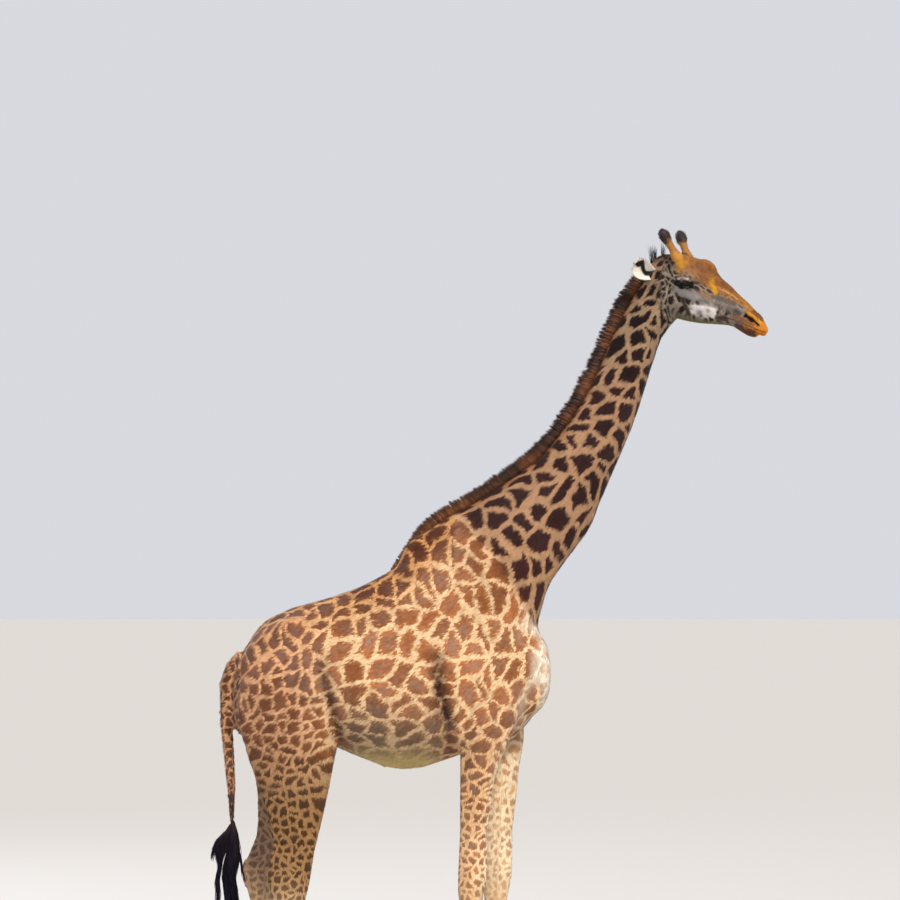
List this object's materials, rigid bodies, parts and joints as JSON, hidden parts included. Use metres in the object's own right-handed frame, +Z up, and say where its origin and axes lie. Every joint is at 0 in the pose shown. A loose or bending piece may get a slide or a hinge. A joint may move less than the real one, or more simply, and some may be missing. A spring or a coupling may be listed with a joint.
{
  "type": "giraffe",
  "caption": "Life-size standing giraffe, a still model with its neck raised, head turned to its right, horned, maned, with a hanging tufted tail and cloven hooves.",
  "frame": {"origin": "on the floor, under the middle of the model's bounding box", "axes": "+X is the way the body faces, +Y is the animal's left side, +Z is up"},
  "size_m": [2.8906, 0.698, 4.3459],
  "materials": {
    "coat": "short fur",
    "face": "short fur",
    "legs": "short fur",
    "mane": "stiff hair",
    "tail_tuft": "long coarse hair",
    "ears": "short fur",
    "horns": "skin and short fur over bone",
    "eyes": "wet gloss",
    "hooves": "worn horn, satin"
  },
  "bodies": {
    "root": {"trunk": "coat", "neck": "coat", "tail": "coat", "foreleg_left": "legs", "hoof_foreleg_left_inner": "hooves", "hoof_foreleg_left_outer": "hooves", "foreleg_right": "legs", "hoof_foreleg_right_inner": "hooves", "hoof_foreleg_right_outer": "hooves", "hindleg_left": "legs", "hoof_hindleg_left_inner": "hooves", "hoof_hindleg_left_outer": "hooves", "hindleg_right": "legs", "hoof_hindleg_right_inner": "hooves", "hoof_hindleg_right_outer": "hooves", "head": "face", "mane": "mane", "tail_tuft": "tail_tuft", "ear_left": "ears", "horn_left": "horns", "eye_left": "eyes", "ear_right": "ears", "horn_right": "horns", "eye_right": "eyes"}
  },
  "joints": []
}
